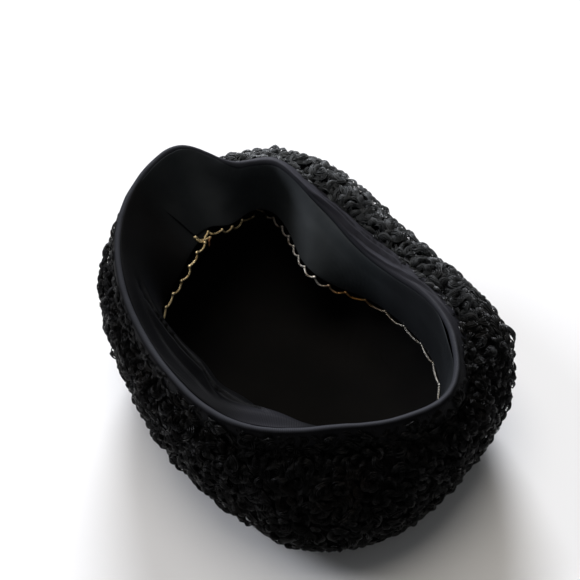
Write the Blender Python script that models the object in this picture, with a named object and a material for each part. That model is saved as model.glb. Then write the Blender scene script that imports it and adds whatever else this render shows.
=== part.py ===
"""Black curly-fur pillbox hat, lying on its crown with the head opening upwards.

The hat is worked out section by section round an upright axis. A section is described
by how far its rim, sweatband and fur stand out from that axis and how high they are.
Sizes are in millimetres until a point is placed, and the model is in metres.
"""

import math

import bmesh
import bpy
from mathutils import Vector

MM = 0.001
SECTIONS = 76            # sections round the hat, the same for every piece so that they nest
GAP = 0.3                # air between two pieces that touch on the real hat

AXIS = (-0.4, -5.3)      # where the axis stands, so that the middle of the hat is at 0

# The fur body stands on its flat crown.
CROWN_CORNER = 46.0      # how far the rounding at the crown's edge reaches in
CROWN_SQUARENESS = 2.1   # 2 is a round corner, more is squarer
SHOULDER = 0.42          # how far the wall keeps its direction below the crest
BELLY_HOLD = 0.45        # how far it stays upright above the belly
SKIN = 2.0               # leather side of the pelt
PELT_TOP = 1.3           # the pelt's upper edge below the crest, inside the binding
PILE = 9.0               # depth of the curls
PILE_UNDER = 7.0         # curls flattened below the crown
PILE_LIP = 9.0           # length over which the curls reach full depth beside the binding
SEAM_SHARE = 0.52        # place of the crown seam round the corner, 0 belly to 1 flat

CURL_HEIGHT = 2.6        # lumps of the curled pile
CURLS_ROUND = 24         # lumps round the side
CURL_ROW = 15.0          # height of a row of lumps

# The binding is folded over the pelt's upper edge.
BINDING = 1.1            # thickness of the ribbon
BINDING_DROP = 12.0      # width that shows on the outside
BINDING_TUCK = 3.6       # width on the inside, behind the sweatband
CREST_STEPS = 3

# The sweatband hangs inside from the rim and its ends lap.
SWEATBAND = 1.1
SWEATBAND_DROP = 1.5     # its upper edge below the crest
SWEATBAND_STEPS = 7
LAP_TURN = 165.0         # where the under end starts, in degrees round the hat
LAP_LENGTH = 9.0         # degrees by which the ends lap at the lower edge
LAP_SLANT = 6.0          # the upper end is folded on a slant, longer at the upper edge
LAP_RAMP = 12.0          # degrees over which the upper end climbs over the under end
LAP_RISE = 0.06          # share of its width by which the upper end is pulled up there

# The gilt edging is a thick metal thread, caught down in scallops along the sweatband.
EDGING_RADIUS = 0.65
SCALLOPS = 44
SCALLOP_DEPTH = 2.2
SCALLOP_POINTS = 3

LINING = 1.0
LINING_TOP = 17.0        # upper edge of the lining below the crest, along the pelt
PELT_STEPS = 3           # between there and the crown seam, on the pelt and the lining alike

# A row for each section of the opening that differs from its neighbours. turn is in
# degrees from +X towards +Y; rim is the crest, fold the middle of the sweatband's width
# and edge its lower edge, each as distance out from the axis and height.
OPENING_COLUMNS = ("turn", "rim_out", "rim_up", "fold_out", "fold_up", "edge_out", "edge_up")
OPENING = [dict(zip(OPENING_COLUMNS, row)) for row in (
    (0, 93, 82, 88, 62, 86, 42),
    (20, 83, 80, 79, 59, 80, 38),
    (45, 69, 74, 67, 53, 71, 33),
    (62, 60, 71, 60, 51, 65, 31),
    (80, 57, 70, 56, 52, 60, 32),
    (95, 58, 74, 54, 57, 53, 37),
    (108, 63, 80, 56, 65, 48, 45),
    (118, 68, 86, 60, 70, 50, 50),
    (123, 73, 89, 66, 70, 57, 49),
    (128, 80, 91, 79, 70, 74, 50),
    (133, 88, 92, 88, 70, 90, 50),
    (140, 90, 91, 92, 70, 94, 51),
    (149, 87, 96, 86, 75, 82, 56),
    (159, 104, 99, 90, 82, 72, 66),
    (170, 105, 99, 87, 84, 68, 71),
    (184, 100, 98, 82, 85, 62, 74),
    (200, 91, 94, 75, 83, 62, 65),
    (217, 82, 90, 67, 81, 62, 58),
    (238, 75, 86, 59, 77, 56, 56),
    (258, 74, 85, 55, 76, 54, 55),
    (272, 76, 84, 57, 75, 57, 54),
    (287, 79, 84, 58, 74, 60, 53),
    (300, 79, 83, 63, 70, 66, 49),
    (312, 78, 82, 69, 65, 73, 44),
    (325, 79, 82, 77, 61, 79, 40),
    (343, 87, 82, 83, 62, 84, 41),
)]

# The fur body, likewise: its widest place as distance out and height, and how far the
# outer face of the binding leans out of the upright, in degrees.
BODY_COLUMNS = ("turn", "belly_out", "belly_up", "lean")
BODY = [dict(zip(BODY_COLUMNS, row)) for row in (
    (0, 110, 42, 20),
    (36, 114, 47, 50),
    (52, 102, 52, 72),
    (72, 92, 54, 78),
    (92, 94, 60, 74),
    (112, 105, 68, 64),
    (135, 113, 70, 52),
    (158, 111, 60, 12),
    (182, 105, 50, -2),
    (203, 102, 50, 2),
    (218, 91, 50, 4),
    (238, 84, 48, 2),
    (262, 84, 45, 2),
    (282, 89, 38, 6),
    (297, 96, 34, 9),
    (312, 107, 33, 12),
    (335, 111, 36, 15),
)]

# A crease runs along the sweatband at the near left, a groove with a ridge below it.
CREASE_TURN = 246.0
CREASE_REACH = 34.0
CREASE_DEPTH = 2.4

BLACK_FUR = (0.012, 0.011, 0.012)
BLACK_CLOTH = (0.020, 0.021, 0.024)
BLACK_LINING = (0.010, 0.010, 0.011)
GILT = (0.72, 0.60, 0.42)


def clear_scene():
    for item in list(bpy.data.objects):
        bpy.data.objects.remove(item)


def material(name, colour, roughness, metallic=0.0):
    made = bpy.data.materials.new(name)
    made.use_nodes = True
    shader = made.node_tree.nodes["Principled BSDF"]
    shader.inputs["Base Color"].default_value = (*colour, 1.0)
    shader.inputs["Roughness"].default_value = roughness
    shader.inputs["Metallic"].default_value = metallic
    return made


def around(table, column, turn):
    """A column of a table at any turn, by a smooth curve through its rows."""
    turn = turn % 360.0
    count = len(table)
    after = next((i for i, row in enumerate(table) if row["turn"] > turn), count)

    def point(i):
        row = table[i % count]
        return row["turn"] + 360.0 * (i // count), float(row[column])

    (x0, y0), (x1, y1), (x2, y2), (x3, y3) = (point(after + k) for k in (-2, -1, 0, 1))
    span = x2 - x1
    rise_1 = (y2 - y0) / (x2 - x0) * span
    rise_2 = (y3 - y1) / (x3 - x1) * span
    t = (turn - x1) / span
    return (
        y1 * (1 + 2 * t) * (1 - t) ** 2
        + rise_1 * t * (1 - t) ** 2
        + y2 * t * t * (3 - 2 * t)
        - rise_2 * t * t * (1 - t)
    )


def station(table, name, turn):
    """A named place of a table, as distance out and height."""
    return Vector((around(table, name + "_out", turn), around(table, name + "_up", turn)))


class Section:
    """The pelt's outer skin line at one turn, from the rim's crest down and under the crown.

    A place on it is given by its distance along from the crest, and how far it stands
    proud of the skin line: positive into the curls, negative into the hat.
    """

    def __init__(self, turn):
        self.turn = turn
        self.crest = station(OPENING, "rim", turn)
        self.fold = station(OPENING, "fold", turn)
        self.edge = station(OPENING, "edge", turn)
        belly = station(BODY, "belly", turn) - Vector((PILE, 0))
        flat_out = belly.x + PILE - CROWN_CORNER
        lean = math.radians(around(BODY, "lean", turn))
        reach = (belly - self.crest).length
        first = self.crest + Vector((math.sin(lean), -math.cos(lean))) * (SHOULDER * reach)
        second = belly + Vector((0, BELLY_HOLD * (self.crest.y - belly.y)))
        steps = 24
        self.line = []
        for i in range(steps):
            t = i / steps
            point = self.crest * (1 - t) ** 3 + first * (3 * t * (1 - t) ** 2)
            point += second * (3 * t * t * (1 - t)) + belly * t ** 3
            self.line.append(point)
        self.belly_index = len(self.line)
        power = 2.0 / CROWN_SQUARENESS
        for i in range(steps + 1):
            a = i / steps * math.pi / 2
            out = flat_out + (belly.x - flat_out) * math.cos(a) ** power
            up = PILE_UNDER + (belly.y - PILE_UNDER) * (1 - math.sin(a) ** power)
            self.line.append(Vector((out, up)))
        self.lengths = [0.0]
        for a, b in zip(self.line, self.line[1:]):
            self.lengths.append(self.lengths[-1] + (b - a).length)
        belly_at = self.lengths[self.belly_index]
        self.flat_at = self.lengths[-1]
        self.seam_at = belly_at + (self.flat_at - belly_at) * SEAM_SHARE

    def at(self, along, proud=0.0):
        along = min(max(along, 0.0), self.flat_at)
        i = next(k for k in range(1, len(self.lengths)) if self.lengths[k] >= along)
        share = (along - self.lengths[i - 1]) / (self.lengths[i] - self.lengths[i - 1])
        point = self.line[i - 1].lerp(self.line[i], share)
        before = self.line[max(i - 2, 0)]
        beyond = self.line[min(i + 1, len(self.line) - 1)]
        run = (beyond - before).normalized()
        return point + Vector((-run.y, run.x)) * proud

    def pelt_places(self):
        """Places down the pelt's inner face, from the lining's upper edge to the seam."""
        last = self.seam_at - GAP / 2
        return [LINING_TOP + (last - LINING_TOP) * i / PELT_STEPS for i in range(PELT_STEPS + 1)]

    def crown_places(self):
        """Places from the seam to the flat of the crown."""
        first = self.seam_at + GAP / 2
        return [first, (first + self.flat_at) / 2, self.flat_at]

    def pile(self, along):
        """How far the curls stand proud: a rounded lip beside the binding, then lumps."""
        clear = along - BINDING_DROP
        full = math.sqrt(max(0.0, 1 - (1 - min(clear / PILE_LIP, 1.0)) ** 2))
        row = along / CURL_ROW
        round_hat = math.radians(self.turn) * CURLS_ROUND
        wander = 1.1 * math.sin(2.1 * row) + 0.8 * math.sin(5 * math.radians(self.turn))
        lump = math.sin(round_hat + math.pi * math.floor(row) + wander)
        lump *= math.sin(math.pi * (row % 1.0))
        return full * (PILE + CURL_HEIGHT * 0.5 * (lump - 0.4))

    def sweatband(self, share, proud):
        """A place across the sweatband, 0 at its upper edge and 1 at its lower edge."""
        behind = -(SKIN + GAP + BINDING + GAP + SWEATBAND / 2)
        top = self.at(SWEATBAND_DROP, behind)
        bend = self.fold * 2 - (top + self.edge) / 2
        point = top * (1 - share) ** 2 + bend * 2 * share * (1 - share) + self.edge * share ** 2
        run = (bend - top) * (1 - share) + (self.edge - bend) * share
        run.normalize()
        return point + Vector((-run.y, run.x)) * (proud + self.crease(share))

    def crease(self, share):
        """The groove and the ridge below it, across the sweatband's upper part."""
        aside = abs((self.turn - CREASE_TURN + 180) % 360 - 180) / CREASE_REACH
        across = (share - 0.08) / 0.56
        if aside >= 1 or not 0 < across < 1:
            return 0.0
        return CREASE_DEPTH * (1 - aside * aside) ** 2 * math.sin(math.tau * across)


def place(turn, point):
    """A section's point, out and up in millimetres, as a place in the hat in metres."""
    a = math.radians(turn)
    spot = Vector((point.x * math.cos(a) + AXIS[0], point.x * math.sin(a) + AXIS[1], point.y))
    return spot * MM


def finish(name, mesh, look):
    bmesh.ops.recalc_face_normals(mesh, faces=mesh.faces)
    data = bpy.data.meshes.new(name)
    mesh.to_mesh(data)
    mesh.free()
    data.shade_smooth()
    data.set_sharp_from_angle(angle=math.radians(50))
    data.materials.append(look)
    item = bpy.data.objects.new(name, data)
    bpy.context.scene.collection.objects.link(item)
    return item


def loft(name, sections, look, ring=True, closed_profile=True):
    """A solid through sections of placed points.

    Facing sides of two pieces list their points in the same order, so that their
    triangles lie alike and the air between them stays even. ring joins the last section to the first. closed_profile joins a section's last point
    to its first; without it the first and last points make flat faces across the hat.
    """
    mesh = bmesh.new()
    rows = [[mesh.verts.new(point) for point in section] for section in sections]
    neighbours = list(zip(rows, rows[1:]))
    if ring:
        neighbours.append((rows[-1], rows[0]))
    width = len(rows[0])
    for here, there in neighbours:
        for k in range(width if closed_profile else width - 1):
            nxt = (k + 1) % width
            mesh.faces.new((here[k], there[k], there[nxt]))
            mesh.faces.new((here[k], there[nxt], here[nxt]))
    if not ring:
        mesh.faces.new(rows[0])
        mesh.faces.new(rows[-1])
    if not closed_profile:
        mesh.faces.new([row[0] for row in rows])
        mesh.faces.new([row[-1] for row in rows])
    return finish(name, mesh, look)


def turns():
    return [360.0 * i / SECTIONS for i in range(SECTIONS)]


def fur_side(look):
    """The side of the hat: pelt inside, curls outside, its upper edge inside the binding."""
    sections = []
    for turn in turns():
        s = Section(turn)
        foot = s.seam_at - GAP / 2
        profile = [s.at(along, -0.1) for along in (PELT_TOP, BINDING_DROP / 2, BINDING_DROP)]
        start = BINDING_DROP + GAP
        steps = 9
        for i in range(steps + 1):
            along = start + (foot - start) * (i / steps) ** 1.15
            profile.append(s.at(along, s.pile(along)))
        places = [PELT_TOP, BINDING_TUCK, BINDING_DROP] + s.pelt_places()
        profile += [s.at(along, -SKIN) for along in reversed(places)]
        sections.append([place(turn, point) for point in profile])
    return loft("fur_side", sections, look)


def fur_tip(look):
    """The crown: an oval of fur, curls flattened under it, sewn to the side at the corner."""
    sections = []
    for turn in turns():
        s = Section(turn)
        start = s.seam_at + GAP / 2
        middle = (start + s.flat_at) / 2
        profile = [s.at(along, -SKIN) for along in reversed(s.crown_places())]
        for along in (start, middle * 0.6 + start * 0.4, s.flat_at * 0.35 + middle * 0.65):
            profile.append(s.at(along, s.pile(along)))
        profile.append(s.at(s.flat_at, PILE_UNDER))
        for point in profile:
            point.y = max(point.y, 0.0)
        sections.append([place(turn, point) for point in profile])
    return loft("fur_tip", sections, look, closed_profile=False)


def rim_binding(look):
    """A ribbon folded over the pelt's upper edge, wide outside and narrow inside."""
    inside, outside = -SKIN - GAP, GAP
    middle, half = (inside + outside) / 2, (outside - inside) / 2
    sections = []
    for turn in turns():
        s = Section(turn)
        top = s.at(0.0, middle)
        run = (s.at(3.0, middle) - top).normalized()
        across = Vector((-run.y, run.x))

        def over_crest(reach, order):
            for i in order:
                a = math.pi * i / CREST_STEPS
                yield top + across * (reach * math.cos(a)) - run * (reach * math.sin(a) - half)

        steps = list(range(CREST_STEPS + 1))
        profile = [s.at(BINDING_DROP, outside + BINDING), s.at(BINDING_DROP / 2, outside + BINDING)]
        profile += over_crest(half + BINDING, steps)
        profile += [s.at(BINDING_TUCK, inside - BINDING), s.at(BINDING_TUCK, inside)]
        profile += over_crest(half, reversed(steps))
        profile += [s.at(BINDING_DROP / 2, outside), s.at(BINDING_DROP, outside)]
        sections.append([place(turn, point) for point in profile])
    return loft("rim_binding", sections, look)


def lap_over(turn):
    """0 along the hat, 1 where the sweatband's upper end lies over its beginning."""
    over = (turn - (LAP_TURN + 360.0 - LAP_RAMP)) / LAP_RAMP
    over = min(max(over, 0.0), 1.0)
    return over * over * (3 - 2 * over)


def band_point(turn, share, proud):
    """A place across the sweatband at a turn counted on from its beginning."""
    over = lap_over(turn)
    lift = (SWEATBAND + GAP + 0.2) * over
    return Section(turn).sweatband(share * (1 - LAP_RISE * over), proud - lift)


def sweatband(look):
    """A wide ribbon, one length whose slanted end laps over its beginning."""
    last = LAP_TURN + 360.0 + LAP_LENGTH
    stops = [t + full for full in (0.0, 360.0) for t in turns() if LAP_TURN < t + full < last]
    sections = []
    for turn in [LAP_TURN] + stops + [last]:
        slant = LAP_SLANT * min(max((turn - last) / LAP_LENGTH + 1.0, 0.0), 1.0)
        inner, outer = [], []
        for i in range(SWEATBAND_STEPS + 1):
            share = i / SWEATBAND_STEPS
            here = turn + slant * (1 - share)
            inner.append(place(here, band_point(here, share, -SWEATBAND / 2)))
            outer.append(place(here, band_point(here, share, SWEATBAND / 2)))
        sections.append(inner + outer[::-1])
    return loft("sweatband", sections, look, ring=False)


def edging_path():
    """The gilt thread: scallops along the sweatband, then a hairpin at its folded end."""
    last = LAP_TURN + 360.0 + LAP_LENGTH
    path = []
    for i in range(SCALLOPS * SCALLOP_POINTS + 1):
        turn = LAP_TURN + (last - LAP_TURN) * i / (SCALLOPS * SCALLOP_POINTS)
        down = (band_point(turn, 1.0, 0.0) - band_point(turn, 0.9, 0.0)).normalized()
        dip = SCALLOP_DEPTH * abs(math.sin(math.pi * i / SCALLOP_POINTS))
        point = band_point(turn, 1.0, 0.0) + down * (EDGING_RADIUS + GAP + dip)
        path.append(place(turn, point))
    return path


def gilt_edging(look):
    curve = bpy.data.curves.new("gilt_edging", "CURVE")
    curve.dimensions = "3D"
    curve.bevel_depth = EDGING_RADIUS * MM
    curve.bevel_resolution = 0
    curve.use_fill_caps = True
    path = edging_path()
    spline = curve.splines.new("POLY")
    spline.points.add(len(path) - 1)
    for point, co in zip(spline.points, path):
        point.co = (*co, 1.0)
    curve.materials.append(look)
    item = bpy.data.objects.new("gilt_edging", curve)
    bpy.context.scene.collection.objects.link(item)
    return item


def lining(look):
    """A cloth bag against the pelt, hidden behind the sweatband at its upper edge."""
    outer_face = -(SKIN + 2 * GAP)
    inner_face = outer_face - LINING
    sections = []
    for turn in turns():
        s = Section(turn)
        places = s.pelt_places() + s.crown_places()
        profile = [s.at(along, outer_face) for along in reversed(places)]
        profile += [s.at(along, inner_face) for along in places]
        sections.append([place(turn, point) for point in profile])
    return loft("lining", sections, look, closed_profile=False)


def main():
    clear_scene()
    fur = material("curled black fur", BLACK_FUR, 0.55)
    cloth = material("black grosgrain ribbon", BLACK_CLOTH, 0.6)
    fur_side(fur)
    fur_tip(fur)
    rim_binding(cloth)
    sweatband(cloth)
    gilt_edging(material("gilt metal thread", GILT, 0.35, 1.0))
    lining(material("black lining cloth", BLACK_LINING, 0.8))


main()
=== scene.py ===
"""Black curled-lamb pillbox hat lying on its crown, dressed for a studio picture.

The pelt is covered with several thousand small locks, the ribbons and the lining are
refined from the hat's own solids, and the gilt edging is laid up from three plies of
metal thread and caught down with knots. Sizes in comments are in millimetres.
"""

import bisect
import math
import random

import bmesh
import bpy
from mathutils import Matrix, Vector, noise
from mathutils.bvhtree import BVHTree


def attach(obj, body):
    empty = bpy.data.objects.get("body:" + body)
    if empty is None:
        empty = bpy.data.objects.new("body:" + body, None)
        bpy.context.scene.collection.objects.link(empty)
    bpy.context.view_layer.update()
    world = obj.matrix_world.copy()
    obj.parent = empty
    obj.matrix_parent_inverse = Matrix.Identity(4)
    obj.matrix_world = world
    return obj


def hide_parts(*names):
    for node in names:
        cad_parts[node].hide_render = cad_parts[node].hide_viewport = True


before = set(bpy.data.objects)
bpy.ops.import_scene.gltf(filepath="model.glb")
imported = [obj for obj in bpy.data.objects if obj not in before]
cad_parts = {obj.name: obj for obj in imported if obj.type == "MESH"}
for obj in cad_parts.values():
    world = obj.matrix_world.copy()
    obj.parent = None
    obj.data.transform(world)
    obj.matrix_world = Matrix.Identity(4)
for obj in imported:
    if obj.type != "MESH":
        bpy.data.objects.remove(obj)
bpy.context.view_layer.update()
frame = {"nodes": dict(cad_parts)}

MM = 0.001
BODY = "root"
AXIS = Vector((-0.4, -5.3, 0.0)) * MM    # the upright that the hat is measured round
HOLLOW = AXIS + Vector((0, 0, 45)) * MM  # a point inside the hat
UP = Vector((0, 0, 1))
HIGH_CORNER = 166            # the turn of the rim's highest corner, in degrees
RIGHT_GAP = 22               # the turn where the sweatband's edge stands off the rim
SHELF_TURN = 301             # the turn where the sweatband leans in like a shelf
LAP_TURNS = (158, 181)       # the turns between which the sweatband's ends lap

# The picture
VIEW_AZIMUTH = 38.0
VIEW_ELEVATION = 52.0
VIEW_DISTANCE = 600 * MM
PHOTO_SIDE = 580             # pixels
FOCAL = 1170                 # the lens in the same pixels
TARGET_PIXEL = (290, 345)    # where the point HOLLOW shows
ROOM_LIGHT = 0.16

# The curls: each is a few strands that lie side by side on one bent path
SIDE_PIECES = 5
STRAND_KINDS = 24
SIDE_STRANDS = 6             # strands in a curl on the side
TIP_STRANDS = 4
STRAND_RINGS = 8
STRAND_SIDES = 3
STRAND_PITCH = 0.6 * MM
CURL_SPACING = 3.35 * MM
TIP_CURL_SPACING = 4.6 * MM
NAP_SWIRL = 13 * MM          # distance over which the curls change their lie
CLUMP_SIZE = 7 * MM          # distance between clumps of curls that stand out together
CLUMP_HEIGHT = 2.2 * MM
PELT_DEPTH = 1.9 * MM        # how far the skin lies under the curls' outer face
FLOOR_CLEARANCE = 0.15 * MM
WISPS = 700
WISP_RINGS = 6

# The edging
PLIES = 3
PLY_RADIUS = 0.36 * MM
PLY_TWIST = 2.8 * MM
PLY_STEP = 0.45 * MM
SCALLOP_DEPTH = 1.9 * MM
FRAY_STEPS = 19              # how much of the edging's start has come apart
FOLD_STEPS = 24              # how much of its other end is folded back
FRAYS = 20

# How far from the rim's crest the curls begin, by the turn round the hat
OVERHANG = (
    (0, 3.2), (34, 3.6), (48, 8.5), (62, 10.5), (76, 12.5), (104, 12.8), (118, 11.0), (132, 9.0),
    (150, 9.5), (186, 8.5), (202, 2.2), (270, 2.4), (290, 4.4), (330, 4.8), (350, 3.4), (360, 3.2),
)
# Creases pressed into the binding's outer leg: turn and distance from the crest at both ends,
# then how far the cloth stands up there and how wide the crease is, in millimetres
CREASES = (
    (118, 2.8, 70, 8.2, 2.2, 1.0), (112, 5.4, 74, 11.0, 1.9, 1.0), (104, 8.8, 80, 13.0, 1.3, 1.0),
    (96, 2.2, 52, 5.4, 1.1, 0.9), (62, 4.2, 36, 6.2, 0.8, 0.9),
)
# The sweatband's long inner fold: its distance from the crest and its height, by turn
RIDGE = (
    (0, 9.0), (205, 11.0), (222, 12.5), (236, 13.5), (266, 14.5), (282, 11.5), (300, 9.0), (360, 9.0),
)
RIDGE_HEIGHT = (
    (0, 0.0), (208, 0.0), (226, 0.9), (238, 1.2), (274, 1.2), (290, 0.6), (304, 0.4), (318, 0.0),
    (360, 0.0),
)
VALLEY_DEPTH = ((0, 0.0), (212, 0.0), (232, 2.6), (244, 4.2), (266, 4.4), (281, 0.0), (360, 0.0))
# How much painted shade darkens the cloth above that fold, by turn, standing for the shadow in the fold
PAINTED_FOLD_SHADE = ((0, 0.0), (206, 0.0), (218, 1.0), (280, 1.0), (290, 0.0), (360, 0.0))
# The sweatband's colour by turn, with painted light and shade in it: paler on the far side where the
# light falls, and darker on the near left, which is in shade. This is fitted to how pale it looks there,
# and stands for light and shade, not for fading.
BAND_PAINTED_LIGHT = (
    (0, "#1e2021"), (42, "#26282a"), (62, "#292b2d"), (80, "#34383a"), (95, "#404446"),
    (116, "#4a4e50"), (146, "#46494b"), (166, "#25282a"), (183, "#131313"), (200, "#0b0b0b"),
    (225, "#050505"), (285, "#050505"), (320, "#0e0f10"), (360, "#1e2021"),
)
# Painted light: fur and binding are coloured paler along this way, where the light falls on them.
PAINTED_LIGHT_WAY = Vector((-0.3, 0.9, 0.6))   # the way up and back, to where fur and binding look paler
# The length of one scallop of the edging, by turn
SCALLOP_PITCH = (
    (0, 16.0), (60, 15.0), (86, 12.0), (108, 9.5), (126, 7.5), (133, 8.0), (142, 13.0), (160, 12.0),
    (178, 9.0), (205, 8.0), (240, 10.0), (330, 14.0), (360, 16.0),
)
# How the gold has worn, by turn
WEAR = (
    (0, "#b8b5ad"), (60, "#b4b1a8"), (78, "#b9a68a"), (86, "#e0a258"), (98, "#e6b377"),
    (108, "#f2eee4"), (122, "#e9e6df"), (130, "#a49c94"), (137, "#8c8174"), (145, "#c9b68e"),
    (165, "#e0cb9c"), (205, "#e6d3a8"), (235, "#b8a47c"), (360, "#b8b5ad"),
)


def linear(code):
    """An sRGB hex colour as linear red, green, blue and alpha."""
    channels = [int(code[i:i + 2], 16) / 255 for i in (1, 3, 5)]
    return [c / 12.92 if c <= 0.04045 else ((c + 0.055) / 1.055) ** 2.4 for c in channels] + [1.0]


def between(rows, turn):
    """The value at a turn, from a table of turns and values."""
    for (a, low), (b, high) in zip(rows, rows[1:]):
        if a <= turn <= b:
            return low + (high - low) * (turn - a) / (b - a)
    return rows[-1][1]


def add(tree, kind, inputs=None, **settings):
    """A shader node with its settings, and its inputs as values or as sockets to link."""
    made = tree.nodes.new("ShaderNode" + kind)
    for name, value in settings.items():
        setattr(made, name, value)
    for name, value in (inputs or {}).items():
        if isinstance(value, bpy.types.NodeSocket):
            tree.links.new(value, made.inputs[name])
        else:
            made.inputs[name].default_value = value
    return made


def new_finish(name, **values):
    """A material with its surface shader, and values for that shader's own sockets."""
    made = bpy.data.materials.new(name)
    made.use_nodes = True
    shader = made.node_tree.nodes["Principled BSDF"]
    for key, value in values.items():
        shader.inputs[key.replace("_", " ")].default_value = value
    return made, made.node_tree, shader


def ramp(tree, value, stops):
    """A colour ramp through hex colours at the places given."""
    made = add(tree, "ValToRGB", {"Fac": value})
    points = made.color_ramp.elements
    while len(points) < len(stops):
        points.new(0.5)
    for point, (place, code) in zip(points, stops):
        point.position = place
        point.color = linear(code)
    return made.outputs["Color"]


def with_painted_light(tree, place, colour, pale, start, stop):
    """A colour with painted light, turning to a paler one between two distances in mm up and towards the
    far side, where the light falls.
    """
    across = add(tree, "VectorMath", {0: place, 1: PAINTED_LIGHT_WAY}, operation="DOT_PRODUCT")
    value = across.outputs["Value"]
    fade = add(tree, "MapRange", {"Value": value, "From Min": start * MM, "From Max": stop * MM})
    factor = fade.outputs["Result"]
    mixed = add(tree, "Mix", {0: factor, 6: colour, 7: linear(pale)}, data_type="RGBA")
    return mixed.outputs[2]


def curled_fur():
    """Dyed lamb: keratin hair in tight glossy locks, near black with a warm cast at the tips."""
    made, tree, shader = new_finish(
        "dyed_curled_lamb", Roughness=0.27, IOR=1.55, Specular_IOR_Level=0.065
    )
    place = add(tree, "TexCoord").outputs["Object"]
    lay = add(tree, "UVMap", uv_map="lay").outputs["UV"]
    cast = add(tree, "TexNoise", {"Vector": place, "Scale": 45.0, "Detail": 3.0})
    colour = ramp(tree, cast.outputs["Fac"], ((0.3, "#040404"), (0.55, "#070707"), (0.75, "#0f0c09")))
    # Painted light: the upper far side, where the light falls, is coloured paler.
    tree.links.new(with_painted_light(tree, place, colour, "#4e5051", 53, 133), shader.inputs["Base Color"])
    # Hair runs along each strand, about 0.1 apart there and drawn at 0.4 so that it shows.
    hair = add(tree, "TexWave", {"Vector": lay, "Scale": 1.0, "Distortion": 3.0, "Detail": 2.0})
    hair.bands_direction = "Y"
    lumps = add(tree, "TexNoise", {"Vector": place, "Scale": 1100.0, "Detail": 2.0})
    relief = add(tree, "Math", {0: hair.outputs["Fac"], 1: lumps.outputs["Fac"]}, operation="ADD")
    bump = add(tree, "Bump", {"Height": relief.outputs[0], "Strength": 0.55, "Distance": 0.22 * MM})
    tree.links.new(bump.outputs["Normal"], shader.inputs["Normal"])
    return made


def fur_ground():
    """The short dark undercoat and leather that show between the locks."""
    made, tree, shader = new_finish("lamb_undercoat", Roughness=0.95, IOR=1.5, Specular_IOR_Level=0.05)
    place = add(tree, "TexCoord").outputs["Object"]
    grain = add(tree, "TexNoise", {"Vector": place, "Scale": 700.0, "Detail": 4.0})
    colour = ramp(tree, grain.outputs["Fac"], ((0.35, "#020202"), (0.7, "#070607")))
    tree.links.new(colour, shader.inputs["Base Color"])
    bump = add(tree, "Bump", {"Height": grain.outputs["Fac"], "Strength": 0.8, "Distance": 0.6 * MM})
    tree.links.new(bump.outputs["Normal"], shader.inputs["Normal"])
    return made


def grosgrain(name, rib, gloss):
    """Silk grosgrain ribbon: fine crosswise ribs that give it a soft, slightly blue sheen."""
    made, tree, shader = new_finish(
        name, IOR=1.5, Specular_IOR_Level=gloss, Sheen_Weight=0.015, Sheen_Roughness=0.4
    )
    shader.inputs["Sheen Tint"].default_value = linear("#9aa0b4")
    place = add(tree, "TexCoord").outputs["Object"]
    lay = add(tree, "UVMap", uv_map="lay").outputs["UV"]
    wear = add(tree, "TexNoise", {"Vector": place, "Scale": 26.0, "Detail": 4.0, "Roughness": 0.6})
    # The UV map is in metres along and across the ribbon, and a wave node makes ten bands a turn.
    ribs = add(tree, "TexWave", {"Vector": lay, "Scale": math.tau / (20 * rib)}, bands_direction="X")
    fuzz = add(tree, "TexNoise", {"Vector": place, "Scale": 1500.0, "Detail": 2.0})
    relief = add(
        tree, "Math", {0: fuzz.outputs["Fac"], 1: 0.35, 2: ribs.outputs["Fac"]}, operation="MULTIPLY_ADD"
    )
    bump = add(tree, "Bump", {"Height": relief.outputs[0], "Strength": 0.35, "Distance": 0.15 * MM})
    tree.links.new(bump.outputs["Normal"], shader.inputs["Normal"])
    rough = add(tree, "MapRange", {"Value": wear.outputs["Fac"], "To Min": 0.45, "To Max": 0.62})
    tree.links.new(rough.outputs["Result"], shader.inputs["Roughness"])
    return made, tree, shader, place, lay, wear.outputs["Fac"]


def binding_cloth():
    """The binding's ribbon, near black, with painted light: paler on the far side where the light falls,
    and a painted highlight along the rim's crest.
    """
    made, tree, shader, place, lay, wear = grosgrain("silk_grosgrain_binding", 0.9 * MM, 0.03)
    colour = ramp(tree, wear, ((0.32, "#050506"), (0.68, "#09090b")))
    # Painted light: paler on the far side, where the light falls.
    colour = with_painted_light(tree, place, colour, "#2e2e33", 43, 97)
    across = add(tree, "SeparateXYZ", {"Vector": lay}).outputs["Y"]
    # Painted highlight: the cloth within about 3 mm of the crest is coloured paler where the light
    # catches the roll.
    painted_crest_highlight = add(tree, "MapRange", {"Value": across, "From Min": 3.0 * MM, "From Max": 1.8 * MM})
    factor = painted_crest_highlight.outputs["Result"]
    painted_crest_highlight = add(tree, "Mix", {0: factor, 6: colour, 7: linear("#292a2e")}, data_type="RGBA")
    tree.links.new(painted_crest_highlight.outputs[2], shader.inputs["Base Color"])
    return made


def band_cloth():
    """The sweatband's ribbon, dull and a little uneven, its colour by place kept on the mesh, with
    painted light and shade in that colour.
    """
    made, tree, shader, _, _, wear = grosgrain("silk_grosgrain_sweatband", 0.8 * MM, 0.015)
    # This colour carries painted light and shade.
    cloth = add(tree, "Attribute", attribute_name="cloth")
    worn = ramp(tree, wear, ((0.32, "#d8d8d8"), (0.68, "#ffffff")))
    colour = add(
        tree, "Mix", {0: 1.0, 6: cloth.outputs["Color"], 7: worn}, data_type="RGBA",
        blend_type="MULTIPLY",
    )
    tree.links.new(colour.outputs[2], shader.inputs["Base Color"])
    return made


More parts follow.
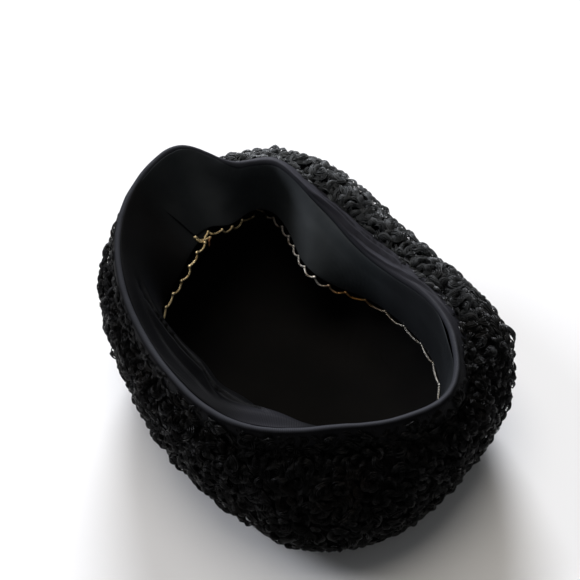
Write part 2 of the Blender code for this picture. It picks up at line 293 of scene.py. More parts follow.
def lining_cloth():
    """Plain black cotton: dull, with a fine even weave and a little dust in it."""
    made, tree, shader = new_finish(
        "black_cotton_lining", Roughness=0.85, IOR=1.5, Specular_IOR_Level=0.1
    )
    place = add(tree, "TexCoord").outputs["Object"]
    dust = add(tree, "TexNoise", {"Vector": place, "Scale": 30.0, "Detail": 5.0})
    colour = ramp(tree, dust.outputs["Fac"], ((0.3, "#080808"), (0.7, "#0f0e0d")))
    tree.links.new(colour, shader.inputs["Base Color"])
    heights = []
    for direction in "XY":
        # Threads lie 0.35 apart and are drawn at 0.7.
        threads = add(tree, "TexWave", {"Vector": place, "Scale": math.tau / (20 * 0.7 * MM)})
        threads.bands_direction = direction
        heights.append(threads.outputs["Fac"])
    weave = add(tree, "Math", {0: heights[0], 1: heights[1]}, operation="MULTIPLY")
    bump = add(tree, "Bump", {"Height": weave.outputs[0], "Strength": 0.3, "Distance": 0.12 * MM})
    tree.links.new(bump.outputs["Normal"], shader.inputs["Normal"])
    return made


def gilt_thread():
    """Thin gilt strip wound on a silk core, its gold worn through to silver in places."""
    made, tree, shader = new_finish("worn_gilt_thread", Metallic=1.0, Roughness=0.36)
    place = add(tree, "TexCoord").outputs["Object"]
    lay = add(tree, "UVMap", uv_map="lay").outputs["UV"]
    tone = add(tree, "Attribute", attribute_name="tone")
    grime = add(tree, "TexNoise", {"Vector": place, "Scale": 260.0, "Detail": 3.0})
    shade = ramp(tree, grime.outputs["Fac"], ((0.34, "#8a7a62"), (0.5, "#ffffff")))
    colour = add(
        tree, "Mix", {0: 0.8, 6: tone.outputs["Color"], 7: shade}, data_type="RGBA",
        blend_type="MULTIPLY",
    )
    tree.links.new(colour.outputs[2], shader.inputs["Base Color"])
    # The strip is wound round the core in turns 0.4 wide.
    turns = add(tree, "TexWave", {"Vector": lay, "Scale": math.tau / (20 * 0.4 * MM)})
    turns.bands_direction = "X"
    bump = add(tree, "Bump", {"Height": turns.outputs["Fac"], "Strength": 0.5, "Distance": 0.1 * MM})
    tree.links.new(bump.outputs["Normal"], shader.inputs["Normal"])
    return made


def silk_core():
    """The dyed silk that the gilt strip was wound on, brown with age."""
    made, tree, shader = new_finish("bare_silk_core", Roughness=0.55, IOR=1.5, Sheen_Weight=0.2)
    place = add(tree, "TexCoord").outputs["Object"]
    age = add(tree, "TexNoise", {"Vector": place, "Scale": 400.0, "Detail": 2.0})
    colour = ramp(tree, age.outputs["Fac"], ((0.35, "#6b4526"), (0.6, "#a9703c"), (0.75, "#d0b184")))
    tree.links.new(colour, shader.inputs["Base Color"])
    return made


def floor_paint():
    """Matt white studio paper."""
    made, _, shader = new_finish("matt_white_paper", Roughness=0.9)
    shader.inputs["Base Color"].default_value = linear("#dcdcdb")
    return made


def piece(name, mesh, look, slot, *nodes):
    """A finished piece of the hat, with the solids that it stands for."""
    item = bpy.data.objects.new(name, mesh)
    bpy.context.scene.collection.objects.link(item)
    mesh.materials.clear()
    mesh.materials.append(look)
    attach(item, BODY)
    if nodes:
        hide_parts(*nodes)
    return item


def refined(node, levels):
    """The solid of a node with its triangles joined and its surface smoothed and refined."""
    fine = bmesh.new()
    fine.from_mesh(frame["nodes"][node].data)
    bmesh.ops.remove_doubles(fine, verts=fine.verts, dist=0.01 * MM)
    bmesh.ops.join_triangles(
        fine, faces=fine.faces, angle_face_threshold=math.pi, angle_shape_threshold=math.pi
    )
    mesh = bpy.data.meshes.new(node + "_refined")
    fine.to_mesh(mesh)
    fine.free()
    helper = bpy.data.objects.new("helper", mesh)
    bpy.context.scene.collection.objects.link(helper)
    smooth = helper.modifiers.new("refine", "SUBSURF")
    smooth.levels = smooth.render_levels = levels
    ready = helper.evaluated_get(bpy.context.evaluated_depsgraph_get())
    made = bpy.data.meshes.new_from_object(ready)
    bpy.data.objects.remove(helper)
    bpy.data.meshes.remove(mesh)
    made.shade_smooth()
    return made


def surface_of(*meshes):
    """The faces of several meshes, to find the nearest or to look along a line."""
    points, faces = [], []
    for mesh in meshes:
        start = len(points)
        points += [v.co.copy() for v in mesh.vertices]
        faces += [[start + i for i in p.vertices] for p in mesh.polygons]
    return BVHTree.FromPolygons(points, faces)


def turn_of(point):
    """The direction of a point from the axis, from 0 to 360 degrees."""
    return math.degrees(math.atan2(point.y - AXIS.y, point.x - AXIS.x)) % 360


def radius_of(point):
    """How far a point is from the axis."""
    return math.hypot(point.x - AXIS.x, point.y - AXIS.y)


def inward(point):
    """The level direction from a point to the axis."""
    return Vector((AXIS.x - point.x, AXIS.y - point.y, 0)).normalized()


def window(value, middle, reach):
    """1 at the middle and 0 beyond the reach, smoothly."""
    away = min(abs(value - middle) / reach, 1.0)
    return (1 - away * away) ** 2


def eased(share):
    """0 to 1 with soft ends."""
    share = min(max(share, 0.0), 1.0)
    return share * share * (3 - 2 * share)


def corner_lift(place, across):
    """How far the ribbons stand up at the rim's highest corner."""
    peak = window(turn_of(place), HIGH_CORNER, 17) + 0.35 * window(turn_of(place), HIGH_CORNER - 3, 8)
    return UP * 3.0 * MM * peak * eased((22 - across) / 20)


class Rim:
    """The crest of the rim and the sweatband's top edge by turn, and lengths along the crest."""

    def __init__(self):
        self.turns, sections = self.sections("rim_binding", 14)
        self.crest, self.roll = [], []
        for found in sections:
            middle = sum(found, Vector()) / len(found)
            skirt = max(found, key=lambda p: (p - middle).length)
            crest = max(found, key=lambda p: (p - skirt).length)
            near = sorted(found, key=lambda p: (p - crest).length)[:6]
            self.crest.append(crest)
            self.roll.append(sum(near, Vector()) / len(near))
        self.lengths = [0.0]
        for a, b in zip(self.crest, self.crest[1:] + self.crest[:1]):
            self.lengths.append(self.lengths[-1] + (b - a).length)
        self.band_turns, sections = self.sections("sweatband", 16)
        self.band_top = []
        for turn, found in zip(self.band_turns, sections):
            crest = self.at(turn)[0]
            near = sorted(found, key=lambda p: (p - crest).length)[:2]
            self.band_top.append((near[0] + near[1]) / 2)

    @staticmethod
    def sections(node, corners):
        """The sections of a ribbon's solid that have just this many corners, by turn."""
        found = {}
        for v in frame["nodes"][node].data.vertices:
            corner = v.co.copy().freeze()
            found.setdefault(round(turn_of(corner), 1), set()).add(corner)
        found = {turn: sorted(points, key=tuple) for turn, points in found.items()}
        turns = sorted(t for t, points in found.items() if len(points) == corners)
        return turns, [found[t] for t in turns]

    @staticmethod
    def neighbours(turns, turn):
        after = bisect.bisect_right(turns, turn) % len(turns)
        low, high = turns[after - 1], turns[after]
        share = ((turn - low) % 360) / max((high - low) % 360, 1e-6)
        return (after - 1) % len(turns), after, share

    def at(self, turn):
        """The crest's place at a turn, and its distance along the crest."""
        i, j, share = self.neighbours(self.turns, turn)
        start, stop = self.lengths[i], self.lengths[i + 1]
        return self.crest[i].lerp(self.crest[j], share), start + (stop - start) * share

    def middle_of_roll(self, turn):
        i, j, share = self.neighbours(self.turns, turn)
        return self.roll[i].lerp(self.roll[j], share)

    def top_of_band(self, turn):
        i, j, share = self.neighbours(self.band_turns, turn)
        return self.band_top[i].lerp(self.band_top[j], share)

    def spot(self, point):
        """Metres along and across the ribbon, for a point on it."""
        crest, along = self.at(turn_of(point))
        return along, (point - crest).length


def map_ribbon(mesh, rim):
    """A UV map in metres along and across the ribbon, kept whole where the count starts."""
    whole = rim.lengths[-1]
    spots = [rim.spot(v.co) for v in mesh.vertices]
    uv = mesh.uv_layers.new(name="lay").data
    for face in mesh.polygons:
        split = max(spots[i][0] for i in face.vertices) > 0.7 * whole
        for corner, i in zip(face.loop_indices, face.vertices):
            along, across = spots[i]
            if split and along < 0.3 * whole:
                along += whole
            uv[corner].uv = (along, across)
    return spots


def move_points(mesh, shift):
    """Moves each point by a shift worked out from its place and normal."""
    normals = [v.normal.copy() for v in mesh.vertices]
    for i, (v, normal) in enumerate(zip(mesh.vertices, normals)):
        v.co += shift(i, v.co, normal)
    mesh.update()


def rim_binding(rim):
    """The folded binding, creased along the far side where the body sags away from it."""
    mesh = refined("rim_binding", 3)
    spots = map_ribbon(mesh, rim)

    def shift(i, place, normal):
        across, turn = spots[i][1] / MM, turn_of(place)
        height = 0.22 * noise.noise(place * 60) + 0.1 * noise.noise(place * 190)
        if normal.dot(place - HOLLOW) > 0:
            for start, near, stop, far, tall, wide in CREASES:
                if stop - 12 < turn < start + 12:
                    share = (start - turn) / (start - stop)
                    wander = 0.5 * noise.noise(Vector((turn * 0.12, near, 0)))
                    off = (across - near - (far - near) * share - wander) / wide
                    ends = eased((turn - stop + 12) / 16) * eased((start + 12 - turn) / 16)
                    fold = math.exp(-(off / 0.4) ** 2) if off < 0 else 1 - eased(off / 3)
                    height += tall * ends * fold
        return normal * height * MM + corner_lift(place, across)

    move_points(mesh, shift)
    return mesh


def face_of_band(place):
    """The way that the sweatband's face looks where its ends lap."""
    return inward(place) * 0.62 + UP * 0.78


def lies_on_top(layers, place):
    """Whether a point is on the sweatband's upper end, which has two more layers behind it."""
    away = -face_of_band(place)
    start, found = place, 0
    for _ in range(3):
        hit = layers.ray_cast(start + away * 0.1 * MM, away, 4 * MM)[0]
        if hit is None:
            break
        start, found = hit, found + 1
    return found >= 2


def hem_pull(place, across):
    """How far the sweatband's lower edge is drawn up on the left side of the hat."""
    up_cloth = UP * 0.58 - inward(place) * 0.81
    return up_cloth * 4.5 * MM * window(turn_of(place), 216, 26) * eased((across - 24) / 18)


def sweatband(rim):
    """The wide inner ribbon, drawn up to the rim's crest, with a few soft hollows."""
    mesh = refined("sweatband", 3)
    spots = map_ribbon(mesh, rim)
    layers = surface_of(mesh)
    first, last = LAP_TURNS
    on_top = [first < turn_of(v.co) < last and lies_on_top(layers, v.co) for v in mesh.vertices]

    def shift(i, place, normal):
        across, turn = spots[i][1] / MM, turn_of(place)
        crest = rim.at(turn)[0]
        gap = window((turn - RIGHT_GAP + 180) % 360 - 180, 0, 15)
        # The edge is set deeper in the roll beside the shelf, so that no slit shows there.
        hidden = 0.35 + 0.35 * window(turn, 288, 14)
        goal = crest.lerp(rim.middle_of_roll(turn), hidden) + inward(crest) * 2.0 * gap * MM
        raised = (goal - rim.top_of_band(turn)) * eased((11 - across) / 9.5)
        side = 1.0 if normal.dot(HOLLOW - place) > 0 else -1.0
        drape = 0.9 * noise.noise(place * 20) + 0.3 * noise.noise(place * 60)
        drape *= window(across, 22, 17)
        ridge = between(RIDGE, turn)
        drape += 1.3 * between(RIDGE_HEIGHT, turn) * math.exp(-((across - ridge) / 1.7) ** 2)
        drape -= between(VALLEY_DEPTH, turn) * math.exp(-((across - ridge + 3.2) / 1.5) ** 2)
        shelf = eased((across - 3.8) / 2.4) * eased((18 - across) / 10)
        lean = (inward(crest) * 4.0 + UP * 0.8) * window(turn, SHELF_TURN, 23) * shelf * MM
        shifted = raised + lean + corner_lift(place, across) + hem_pull(place, across)
        if on_top[i]:
            # The upper end's edge sinks into the cloth below it towards the rim.
            edge = 180 - 6 * (across - 3.6) / 38
            sunk = 1.5 * eased((30 - across) / 14) * eased((turn - edge + 7) / 5)
            shifted -= face_of_band(place) * sunk * MM
        return shifted + normal * side * drape * MM

    move_points(mesh, shift)
    # The sweatband's colour by turn, with painted light on the far side and painted shade on the near
    # left.
    rows = [(turn, Vector(linear(code))) for turn, code in BAND_PAINTED_LIGHT]
    # Colours for the painted shade in the fold and the painted light on the shelf.
    fold_shadow_colour, light = Vector(linear("#040405")), Vector(linear("#202024"))
    cloth = mesh.color_attributes.new("cloth", "FLOAT_COLOR", "POINT")
    for v, (_, across), shade in zip(mesh.vertices, spots, cloth.data):
        turn = turn_of(v.co)
        above = between(RIDGE, turn) - across / MM
        # Painted shade on the cloth above the long inner fold on the near left.
        fold_shade = between(PAINTED_FOLD_SHADE, turn) * eased((above - 1.2) / 1.4)
        # Painted light on the shelf where the sweatband leans in, as if light falls on it there.
        painted_shelf_light = window(turn, SHELF_TURN - 1, 18) * eased((above + 1) / 2)
        shade.color = between(rows, turn).lerp(fold_shadow_colour, fold_shade).lerp(light, painted_shelf_light)
    return mesh


def lining():
    """The lining bag, with slack wrinkles below the sweatband."""
    mesh = refined("lining", 2)

    def shift(i, place, normal):
        side = 1.0 if normal.dot(HOLLOW - place) > 0 else -1.0
        deep = eased((46 * MM - place.z) / (22 * MM))
        swell = noise.noise(place * 22) + 0.5 * noise.noise(place * 60)
        return normal * side * (0.6 * swell - 0.1) * deep * MM

    move_points(mesh, shift)
    return mesh


def tube(rings, sides, shape_of, uv_of):
    """A closed tube drawn out ring by ring. shape_of gives a point's place from ring and angle."""
    shape = bmesh.new()
    uv = shape.loops.layers.uv.new("lay")
    ring = bmesh.ops.create_circle(shape, segments=sides, radius=1.0, cap_ends=False)["verts"]
    edges = list({edge for v in ring for edge in v.link_edges})
    found = [list(ring)]
    for _ in range(rings - 1):
        drawn = bmesh.ops.extrude_edge_only(shape, edges=edges)["geom"]
        edges = [g for g in drawn if isinstance(g, bmesh.types.BMEdge)]
        found.append([g for g in drawn if isinstance(g, bmesh.types.BMVert)])
    places = {}
    for i, ring in enumerate(found):
        for v in ring:
            places[v] = (i / (rings - 1), math.atan2(v.co.y, v.co.x))
    for v, (share, angle) in places.items():
        v.co = shape_of(share, angle)
    for face in shape.faces:
        angles = [places[corner.vert][1] for corner in face.loops]
        for corner, angle in zip(face.loops, angles):
            if max(angles) - angle > math.pi:
                angle += math.tau
            corner[uv].uv = uv_of(places[corner.vert][0], angle / math.tau)
    for ring in (found[0], found[-1]):
        bmesh.ops.contextual_create(shape, geom=ring)
    bmesh.ops.recalc_face_normals(shape, faces=shape.faces)
    mesh = bpy.data.meshes.new("strand")
    shape.to_mesh(mesh)
    shape.free()
    mesh.shade_smooth()
    return mesh


class Strand:
    """One bent tapered strand, lying along X with its arc's centre on the Y axis."""

    def __init__(self, girth, length, bend, rise, crimp, rings, sides):
        self.centre = length / bend
        phase = random.uniform(0, math.tau)
        waves = random.uniform(0.9, 1.5) * math.tau

        def shape_of(t, angle):
            heading = bend * (t - 0.5)
            out = Vector((math.sin(heading), -math.cos(heading), 0))
            middle = Vector((0, self.centre, 0)) + out * self.centre
            swell = max(math.sin(math.pi * t), 0.0)
            wave = crimp * math.sin(waves * t + phase)
            thick = girth * (0.22 + 0.78 * swell ** 0.6)
            lift = rise * (swell ** 0.8 - 0.45)
            level, height = math.cos(angle) * thick + wave, math.sin(angle) * thick + lift
            return middle + out * level + UP * height

        self.mesh = tube(rings, sides, shape_of, lambda t, a: (t * length / MM * 0.12, a * 1.6))


def strand_kinds():
    """The strands that the curls are made of, from nearly straight to almost a ring."""
    kinds = []
    for i in range(STRAND_KINDS):
        bend = random.choice((-1, 1)) * (0.8 + 3.4 * (i + 0.5) / STRAND_KINDS)
        length = random.uniform(6.0, 9.5) * MM
        girth, rise = random.uniform(0.38, 0.5) * MM, random.uniform(1.4, 2.5) * MM
        crimp = random.uniform(0.15, 0.5) * MM
        kinds.append(Strand(girth, length, bend, rise, crimp, STRAND_RINGS, STRAND_SIDES))
    return kinds


def wisp_kinds():
    """Thinner hairs that stray from the curls."""
    kinds = []
    for _ in range(STRAND_KINDS):
        bend = random.choice((-1, 1)) * random.uniform(0.5, 3.0)
        length = random.uniform(4.5, 7.0) * MM
        rise = random.uniform(0.4, 1.1) * MM
        kinds.append(Strand(0.17 * MM, length, bend, rise, 0.3 * MM, WISP_RINGS, STRAND_SIDES))
    return kinds


def lie_of(place, out):
    """The direction in which the hair lies at a place on the pelt."""
    rise = UP - out * out.dot(UP)
    if rise.length < 0.15:
        rise = Vector((1, 0, 0)) - out * out.x
    swirl = noise.noise(place / NAP_SWIRL) + 0.5 * noise.noise(place / (NAP_SWIRL * 0.4))
    return Matrix.Rotation(math.tau * swirl, 3, out) @ rise.normalized()


def free_faces(mesh, walls, other):
    """The faces of a pelt that look out into the open, not onto cloth or the pelt beside it."""
    found = []
    for face in mesh.polygons:
        place, out = face.center, face.normal
        if walls.ray_cast(place + out * 0.05 * MM, out, 4 * MM)[0]:
            continue
        if other.find_nearest(place)[3] < 0.7 * MM:
            continue
        found.append(face)
    return found


def scattered(mesh, faces, spacing, keep=lambda place: True):
    """Places on the faces at least a spacing apart, with the way out of the surface."""
    order = list(faces)
    random.shuffle(order)
    taken, spots = {}, []
    for face in order:
        corners = [mesh.vertices[i].co for i in face.vertices]
        weights = [random.random() + 0.15 for _ in corners]
        place = sum((c * w for c, w in zip(corners, weights)), Vector()) / sum(weights)
        if not keep(place):
            continue
        cell = tuple(math.floor(c / spacing) for c in place)
        near = (
            (cell[0] + i, cell[1] + j, cell[2] + k)
            for i in (-1, 0, 1) for j in (-1, 0, 1) for k in (-1, 0, 1)
        )
        if any((place - p).length < spacing for key in near for p in taken.get(key, ())):
            continue
        taken.setdefault(cell, []).append(place)
        spots.append((place, face.normal.copy()))
    return spots


def clear_of_rim(rim, mesh):
    """Whether a strand stays outside the rim and, beside it, below its crest."""
    for v in mesh.vertices:
        crest = rim.at(turn_of(v.co))[0]
        below, beyond = crest.z - v.co.z, radius_of(v.co) - radius_of(crest)
        close = beyond < 0.6 * MM and below < 1.6 * MM or beyond < 6 * MM and below < 0.8 * MM
        if (v.co - crest).length < 14 * MM and (close or beyond < -0.6 * MM):
            return False
    return True


def coat(name, spots, kinds, strands, rim, spread=0.5):
    """Strands laid on the pelt side by side at the given places, joined into one mesh."""
    whole = bmesh.new()
    for place, out in spots:
        kind = random.choice(kinds)
        size = random.uniform(0.8, 1.2)
        ahead = Matrix.Rotation(random.gauss(0, spread), 3, out) @ lie_of(place, out)
        side = out.cross(ahead)
        tilt = random.uniform(-0.18, 0.2)
        top = out * math.cos(tilt) - ahead * math.sin(tilt)
        ahead = ahead * math.cos(tilt) + out * math.sin(tilt)
        lie = Matrix((ahead, side, top)).transposed().to_4x4()
        clump = CLUMP_HEIGHT * noise.noise(place / CLUMP_SIZE)
        start = place + out * (random.uniform(-0.5, 0.6) * MM + clump)
        near_rim = (place - rim.at(turn_of(place))[0]).length < 15 * MM
        for j in range(strands):
            aside = j - (strands - 1) / 2 + random.uniform(-0.15, 0.15)
            wider = 1 + aside * STRAND_PITCH / abs(kind.centre)
            centre = Vector((0, kind.centre, 0))
            widen = Matrix.Diagonal((wider, wider, 1, 1))
            nest = Matrix.Translation(centre) @ widen @ Matrix.Translation(-centre)
            down = -0.12 * MM * aside * aside + random.uniform(-0.2, 0.2) * MM
            drop = Matrix.Translation((0, 0, down))
            drop[1][0] = -0.08 * aside
            swing = Matrix.Rotation(random.gauss(0, 0.08), 4, "Z")
            strand = kind.mesh.copy()
            scale = Matrix.Diagonal((size, size, size, 1))
            strand.transform(Matrix.Translation(start) @ lie @ scale @ swing @ drop @ nest)
            if not near_rim or clear_of_rim(rim, strand):
                whole.from_mesh(strand)
            bpy.data.meshes.remove(strand)
    for v in whole.verts:
        v.co.z = max(v.co.z, FLOOR_CLEARANCE)
    mesh = bpy.data.meshes.new(name)
    whole.to_mesh(mesh)
    whole.free()
    mesh.shade_smooth()
    return mesh


def sunk_pelt(mesh, free, depth):
    """Lets the skin down under the curls."""
    out = {i for face in free for i in face.vertices}

    def shift(i, place, normal):
        return normal * -depth if i in out else Vector()

    move_points(mesh, shift)
    for v in mesh.vertices:
        v.co.z = max(v.co.z, 0.05 * MM)


def fur(rim, bind_mesh):
    """The curls on the side and the tip, the stray hairs, and the skin below them."""
    look, ground = curled_fur(), fur_ground()
    side_skin, tip_skin = refined("fur_side", 2), refined("fur_tip", 2)
    nodes = frame["nodes"]
    walls = surface_of(nodes["lining"].data, nodes["sweatband"].data, nodes["rim_binding"].data)
    side_free = free_faces(side_skin, walls, surface_of(nodes["fur_tip"].data))
    tip_free = free_faces(tip_skin, walls, surface_of(nodes["fur_side"].data))

    def past_overhang(place):
        crest = rim.at(turn_of(place))[0]
        return (place - crest).length > between(OVERHANG, turn_of(place)) * MM

    leg = [f for f in bind_mesh.polygons if f.normal.dot(f.center - HOLLOW) > 0.01]
    side_spots = scattered(side_skin, side_free, CURL_SPACING, past_overhang)
    leg_spots = scattered(bind_mesh, leg, CURL_SPACING, past_overhang)
    tip_spots = scattered(tip_skin, tip_free, TIP_CURL_SPACING)
    kinds, wisps = strand_kinds(), wisp_kinds()
    side_spots += leg_spots
    side_spots.sort(key=lambda spot: turn_of(spot[0]))
    part = len(side_spots) // SIDE_PIECES + 1
    for i in range(SIDE_PIECES):
        some = side_spots[i * part:(i + 1) * part]
        name = f"side_curls_{i + 1}"
        piece(name, coat(name, some, kinds, SIDE_STRANDS, rim), look, "curled_fur")
    piece("tip_curls", coat("tip_curls", tip_spots, kinds, TIP_STRANDS, rim), look, "curled_fur")
    stray = [random.choice(side_spots) for _ in range(WISPS)]
    stray = [(p + Vector([random.uniform(-1, 1) * MM for _ in range(3)]), out) for p, out in stray]
    piece("stray_hair", coat("stray_hair", stray, wisps, 1, rim, 1.1), look, "curled_fur")
    sunk_pelt(side_skin, side_free, PELT_DEPTH)
    sunk_pelt(tip_skin, tip_free, PELT_DEPTH)
    piece("side_pelt", side_skin, ground, "curled_fur", "fur_side")
    piece("tip_pelt", tip_skin, ground, "curled_fur", "fur_tip")


def edging_line():
    """The middle line of the edging's solid, from its ring of corners at one end to the other."""
    solid = bmesh.new()
    solid.from_mesh(frame["nodes"]["gilt_edging"].data)
    bmesh.ops.remove_doubles(solid, verts=solid.verts, dist=0.01 * MM)

    def rings_from(start):
        seen, rings = set(start), [list(start)]
        while rings[-1]:
            beyond = {edge.other_vert(v) for v in rings[-1] for edge in v.link_edges} - seen
            seen |= beyond
            rings.append(list(beyond))
        return rings[:-1]

    solid.verts.ensure_lookup_table()
    last = rings_from([solid.verts[0]])[-1][0]
    end = [v for v in solid.verts if (v.co - last.co).length < 1.6 * MM]
    line = [sum((v.co for v in ring), Vector()) / len(ring) for ring in rings_from(end)]
    solid.free()
    if (turn_of(line[4]) - turn_of(line[0])) % 360 > 180:
        line.reverse()
    return line


def smoothed(line, reach):
    """The line without its scallops, each point the mean of those near it."""
    made = []
    for i in range(len(line)):
        span = min(reach, i, len(line) - 1 - i)
        near = line[i - span:i + span + 1]
        made.append(sum(near, Vector()) / len(near))
    return made


def resampled(line, step):
    """Points at an even step along a smooth curve through the line."""
    lengths = [0.0]
    for a, b in zip(line, line[1:]):
        lengths.append(lengths[-1] + (b - a).length)
    made, i = [], 1
    count = max(int(lengths[-1] / step), 2)
    for k in range(count + 1):
        want = k * lengths[-1] / count
        while i < len(lengths) - 1 and lengths[i] < want:
            i += 1
        t = (want - lengths[i - 1]) / max(lengths[i] - lengths[i - 1], 1e-9)
        a, b = line[max(i - 2, 0)], line[i - 1]
        c, d = line[i], line[min(i + 1, len(line) - 1)]
        made.append(
            0.5 * ((2 * b) + (c - a) * t + (2 * a - 5 * b + 4 * c - d) * t ** 2
                   + (3 * b - a - 3 * c + d) * t ** 3)
        )
    return made


def thread(line, radius):
    """A round thread along a line, as a mesh with a UV map in metres."""
    curve = bpy.data.curves.new("thread", "CURVE")
    curve.dimensions = "3D"
    curve.bevel_depth = radius
    curve.bevel_resolution = 1
    curve.use_fill_caps = True
    spline = curve.splines.new("POLY")
    spline.points.add(len(line) - 1)
    for point, co in zip(spline.points, line):
        point.co = (*co, 1.0)
    helper = bpy.data.objects.new("thread", curve)
    bpy.context.scene.collection.objects.link(helper)
    ready = helper.evaluated_get(bpy.context.evaluated_depsgraph_get())
    mesh = bpy.data.meshes.new_from_object(ready)
    bpy.data.objects.remove(helper)
    bpy.data.curves.remove(curve)
    uv = mesh.uv_layers.get("UVMap") or mesh.uv_layers.new(name="lay")
    uv.name = "lay"
    length = sum((b - a).length for a, b in zip(line, line[1:]))
    for corner in uv.data:
        corner.uv = (corner.uv[0] * length, corner.uv[1])
    return mesh


def twisted(whole, line):
    """Plies of thread twisted round a line, added to a mesh."""
    for ply in range(PLIES):
        path = []
        for i, place in enumerate(line):
            ahead = (line[min(i + 1, len(line) - 1)] - line[max(i - 1, 0)]).normalized()
            side = ahead.cross(UP).normalized()
            a = i * PLY_STEP / PLY_TWIST * math.tau + ply * math.tau / PLIES
            off = side * math.cos(a) + side.cross(ahead) * math.sin(a)
            path.append(place + off * PLY_RADIUS * 1.05)
        mesh = thread(path, PLY_RADIUS)
        whole.from_mesh(mesh)
        bpy.data.meshes.remove(mesh)


def knot(whole, place, ahead, size):
    """A small lumpy knot round the thread."""
    made = bmesh.ops.create_icosphere(whole, subdivisions=2, radius=size)["verts"]
    turn = Vector((1, 0, 0)).rotation_difference(ahead.normalized()).to_matrix().to_4x4()
    shape = Matrix.Translation(place) @ turn @ Matrix.Diagonal((1.15, 0.95, 0.95, 1))
    bmesh.ops.transform(whole, verts=made, matrix=shape)
    for v in made:
        v.co += (v.co - place).normalized() * 0.16 * MM * noise.noise(v.co * 1500)


def laid_on(cloth, place, slide):
    """A place slid along the cloth's face and laid on it."""
    look = (inward(place) + UP * 0.35).normalized()
    spot = place + slide
    hit = cloth.ray_cast(spot + look * 4 * MM, -look, 11 * MM)[0]
    return (hit or spot) + look * 0.62 * MM


def down_of(line, i):
    """The way down the cloth, away from the rim, at a point of a line along its edge."""
    ahead = (line[min(i + 2, len(line) - 1)] - line[max(i - 2, 0)]).normalized()
    down = ahead.cross(inward(line[i]) + UP * 0.35).normalized()
    return -down if down.z > 0 else down


def scalloped(base, cloth):
    """The edging's line with its scallops, and where the knots come."""
    travel, passed = 0.0, []
    for place in base:
        passed.append(travel)
        travel += PLY_STEP / (between(SCALLOP_PITCH, turn_of(place)) * MM)
    passed = [p * round(travel) / travel for p in passed]
    line, cusps = [], []
    for i, place in enumerate(base):
        sag = math.sin(math.pi * (passed[i] % 1.0)) ** 0.8
        uneven = 1 + 0.35 * noise.noise(Vector((math.floor(passed[i]) * 1.7, 3, 0)))
        line.append(laid_on(cloth, place, down_of(base, i) * (sag * uneven - 0.35) * SCALLOP_DEPTH))
        if i and math.floor(passed[i]) != math.floor(passed[i - 1]):
            cusps.append(i)
    return smoothed(line, 1), cusps


def gilt_edging(cloth):
    """Three twisted plies in scallops along the sweatband's edge, with a knot at each cusp."""
    base = [place + hem_pull(place, 42) for place in smoothed(edging_line(), 2)]
    base = resampled(base, PLY_STEP)
    start, base = base[:FRAY_STEPS], base[FRAY_STEPS:]
    line, cusps = scalloped(base, cloth)
    whole = bmesh.new()
    twisted(whole, line)
    for i in cusps:
        ahead = line[min(i + 1, len(line) - 1)] - line[i - 1]
        knot(whole, line[i] - down_of(base, i) * 0.25 * MM, ahead, random.uniform(0.85, 1.1) * MM)
    last = len(base) - 1
    folded = []
    for k in range(FOLD_STEPS):
        slide = down_of(base, last - k) * (0.4 + 1.7 * eased(k / 6)) * MM
        folded.append(laid_on(cloth, base[last - k], slide))
    folded = smoothed(folded, 2)
    twisted(whole, folded)
    for place, ahead in ((line[0], line[0] - line[3]), (line[-1], folded[0] - folded[3])):
        knot(whole, place, ahead, 1.2 * MM)
    knot(whole, folded[-1], folded[-1] - folded[-4], 0.95 * MM)
    mesh = bpy.data.meshes.new("gilt_edging_thread")
    whole.to_mesh(mesh)
    whole.free()
    mesh.shade_smooth()
    rows = [(turn, Vector(linear(code))) for turn, code in WEAR]
    tones = mesh.color_attributes.new("tone", "FLOAT_COLOR", "POINT")
    for v, tone in zip(mesh.vertices, tones.data):
        tone.color = between(rows, turn_of(v.co))
    return mesh, frays(start, folded[-1], line[0], cloth)


def frays(start, near, far, cloth):
    """The silk core where the edging's start has come apart, between its two ends."""
    whole = bmesh.new()
    for _ in range(FRAYS):
        a = near + Vector([random.uniform(-0.5, 0.5) * MM for _ in range(3)])
        b = far + Vector([random.uniform(-0.9, 0.9) * MM for _ in range(3)])
        slack = random.uniform(0.6, 4.0) * MM
        reach = random.uniform(0.55, 1.0)
        path = []
        for k in range(13):
            share = k / 12 * reach
            along = start[min(int((1 - share) * 0.999 * len(start)), len(start) - 1)]
            slide = down_of(start, len(start) // 2) * slack * math.sin(math.pi * share)
            place = a.lerp(b, share) * 0.6 + along * 0.4
            path.append(laid_on(cloth, place, slide))
        path[0] = a
        mesh = thread(resampled(smoothed(path, 2), 0.5 * MM), 0.13 * MM)
        whole.from_mesh(mesh)
        bpy.data.meshes.remove(mesh)
    mesh = bpy.data.meshes.new("edging_frays")
    whole.to_mesh(mesh)
    whole.free()
    mesh.shade_smooth()
    return mesh


def camera():
    """The camera, at the photograph's angle to the hat."""
    a, e = math.radians(VIEW_AZIMUTH), math.radians(VIEW_ELEVATION)
    back = Vector((math.sin(a) * math.cos(e), -math.cos(a) * math.cos(e), math.sin(e)))
    right = Vector((math.cos(a), math.sin(a), 0))
    up = back.cross(right)
    aside = math.atan((PHOTO_SIDE / 2 - TARGET_PIXEL[0]) / FOCAL)
    above = math.atan((TARGET_PIXEL[1] - PHOTO_SIDE / 2) / FOCAL)
    look = (-back + right * math.tan(aside) + up * math.tan(above)).normalized()
    data = bpy.data.cameras.new("camera")
    data.sensor_width = 36
    data.lens = FOCAL / PHOTO_SIDE * data.sensor_width
    data.clip_start, data.clip_end = 0.01, 20
    item = bpy.data.objects.new("camera", data)
    item.location = HOLLOW + back * VIEW_DISTANCE
    item.rotation_mode = "QUATERNION"
    item.rotation_quaternion = look.to_track_quat("-Z", "Y")
    bpy.context.scene.collection.objects.link(item)
    bpy.context.scene.camera = item


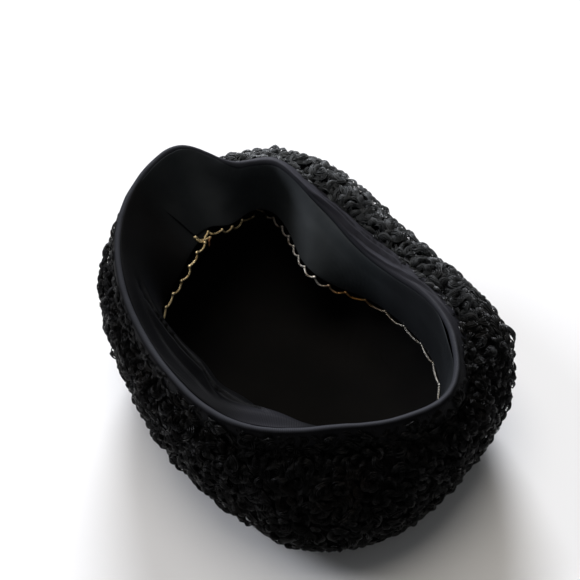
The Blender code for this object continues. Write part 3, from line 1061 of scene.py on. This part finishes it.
def window_light(name, place, width, strength, shade):
    """An even soft light from one side, as wide in degrees as the window looks."""
    data = bpy.data.lights.new(name, "SUN")
    data.angle = math.radians(width)
    data.energy = strength
    data.color = linear(shade)[:3]
    item = bpy.data.objects.new(name, data)
    item.location = place
    item.rotation_mode = "QUATERNION"
    item.rotation_quaternion = (-Vector(place)).to_track_quat("-Z", "Y")
    bpy.context.scene.collection.objects.link(item)


def studio():
    """White paper floor, pale surroundings, and soft light from the left and from behind."""
    paper = bmesh.new()
    bmesh.ops.create_grid(paper, x_segments=1, y_segments=1, size=6.0)
    mesh = bpy.data.meshes.new("paper_floor")
    paper.to_mesh(mesh)
    paper.free()
    mesh.materials.append(floor_paint())
    item = bpy.data.objects.new("paper_floor", mesh)
    bpy.context.scene.collection.objects.link(item)
    world = bpy.data.worlds.new("pale_room")
    world.use_nodes = True
    ground = world.node_tree.nodes["Background"]
    ground.inputs["Color"].default_value = linear("#f2f4f7")
    # The walls look pale from the camera, and throw only a little light on the hat.
    seen = add(world.node_tree, "LightPath").outputs["Is Camera Ray"]
    lit = add(world.node_tree, "MapRange", {"Value": seen, "To Min": ROOM_LIGHT, "To Max": 1.0})
    world.node_tree.links.new(lit.outputs["Result"], ground.inputs["Strength"])
    bpy.context.scene.world = world
    window_light("left_window", (-1.2, -0.5, 0.75), 24, 1.9, "#f4f6ff")
    window_light("back_window", (-0.85, 0.95, 0.6), 22, 5.4, "#f6f8ff")
    window_light("ceiling", (-0.3, 0.1, 1.35), 40, 1.3, "#fff8f0")
    bpy.context.scene.view_settings.view_transform = "Standard"


def main():
    random.seed(7)
    noise.seed_set(7)
    rim = Rim()
    bind_mesh, band_mesh, bag_mesh = rim_binding(rim), sweatband(rim), lining()
    fur(rim, bind_mesh)
    folded = piece("binding_ribbon", bind_mesh, binding_cloth(), "grosgrain_ribbon", "rim_binding")
    ribbon = piece("sweatband_ribbon", band_mesh, band_cloth(), "grosgrain_ribbon", "sweatband")
    bag = piece("lining_bag", bag_mesh, lining_cloth(), "lining_cloth", "lining")
    edging, loose = gilt_edging(surface_of(band_mesh, bag_mesh))
    piece("gilt_edging_thread", edging, gilt_thread(), "gilt_thread", "gilt_edging")
    piece("edging_frays", loose, silk_core(), "gilt_thread")
    camera()
    studio()


main()
